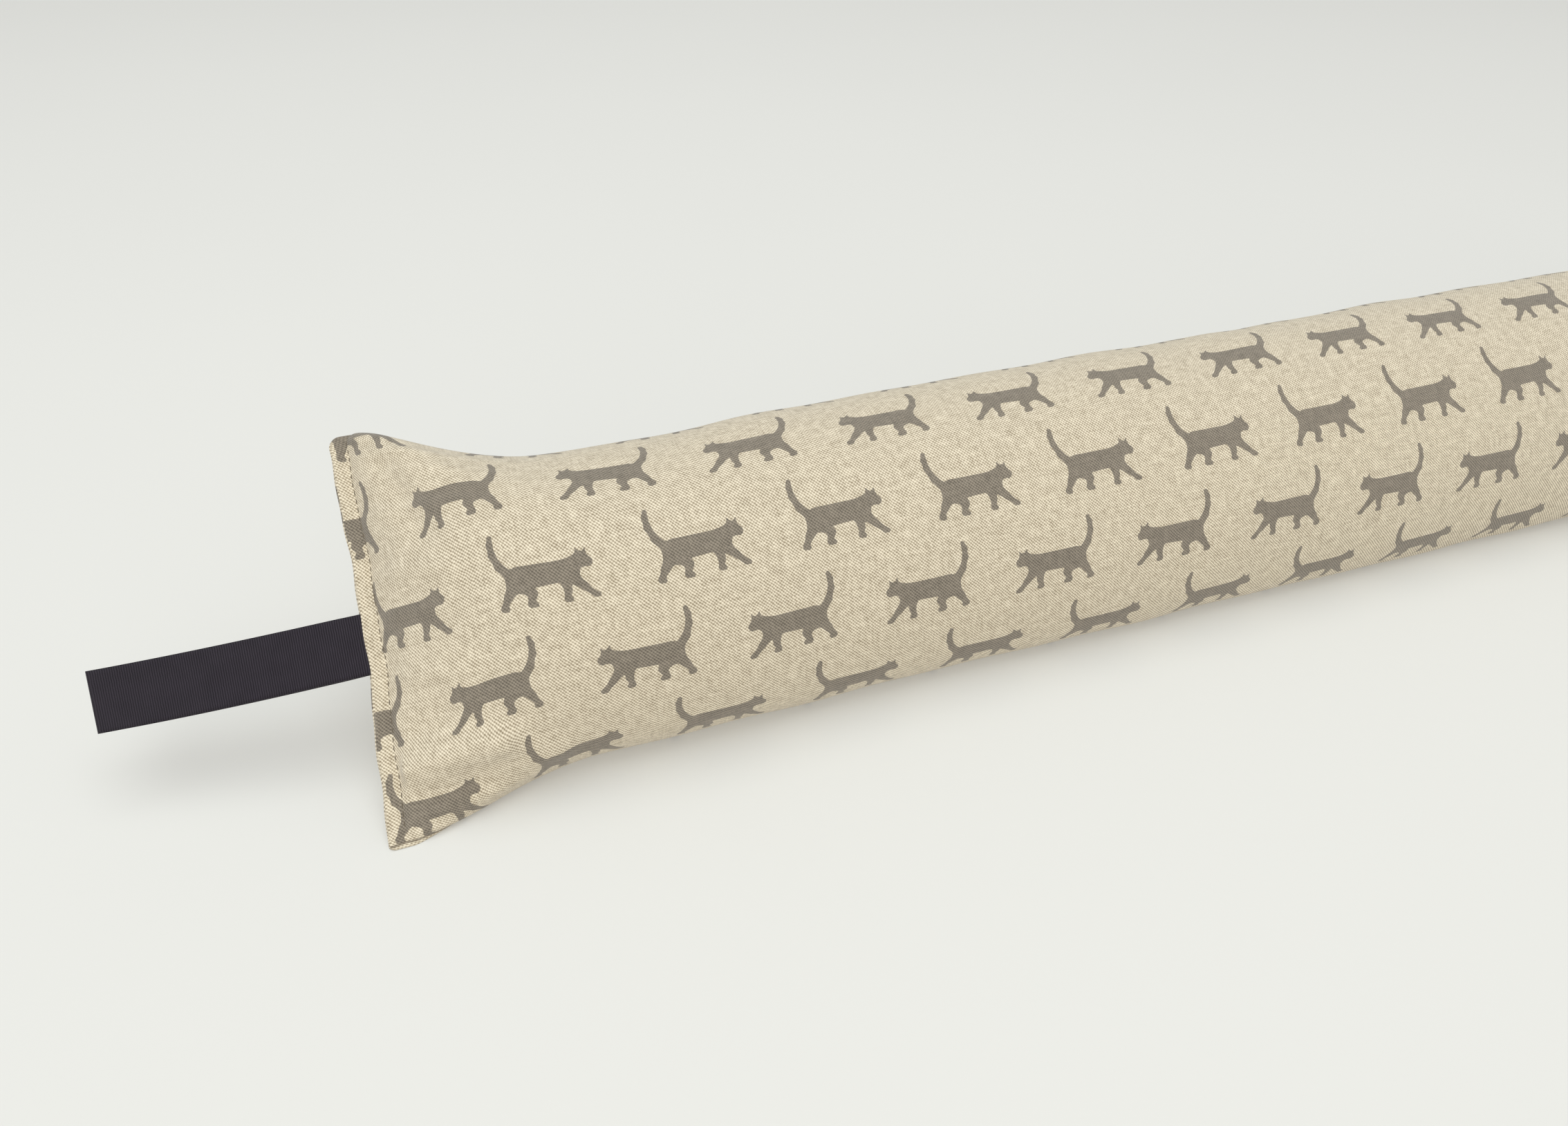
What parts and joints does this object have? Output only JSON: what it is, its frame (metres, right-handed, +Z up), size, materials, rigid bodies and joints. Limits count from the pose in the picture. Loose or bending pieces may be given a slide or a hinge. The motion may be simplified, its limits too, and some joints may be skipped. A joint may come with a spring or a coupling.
{
  "type": "draught excluder",
  "caption": "Long filled tube of printed linen, sewn flat at its ends with a ribbon loop in one, that lies along the foot of a door to stop a draught.",
  "frame": {"origin": "on the flat underside, half way between the end seams and straight below the tube's axis", "axes": "+X along the tube from the ribbon's end to the far end, +Y to the back, away from the face that shows, +Z up"},
  "size_m": [0.9854, 0.131, 0.1143],
  "materials": {
    "printed_linen": "oatmeal linen weave with rows of grey-brown walking cats",
    "grosgrain": "dark charcoal ribbed ribbon"
  },
  "bodies": {
    "root": {"cover": "printed_linen", "hanging_loop": "grosgrain"}
  },
  "joints": []
}
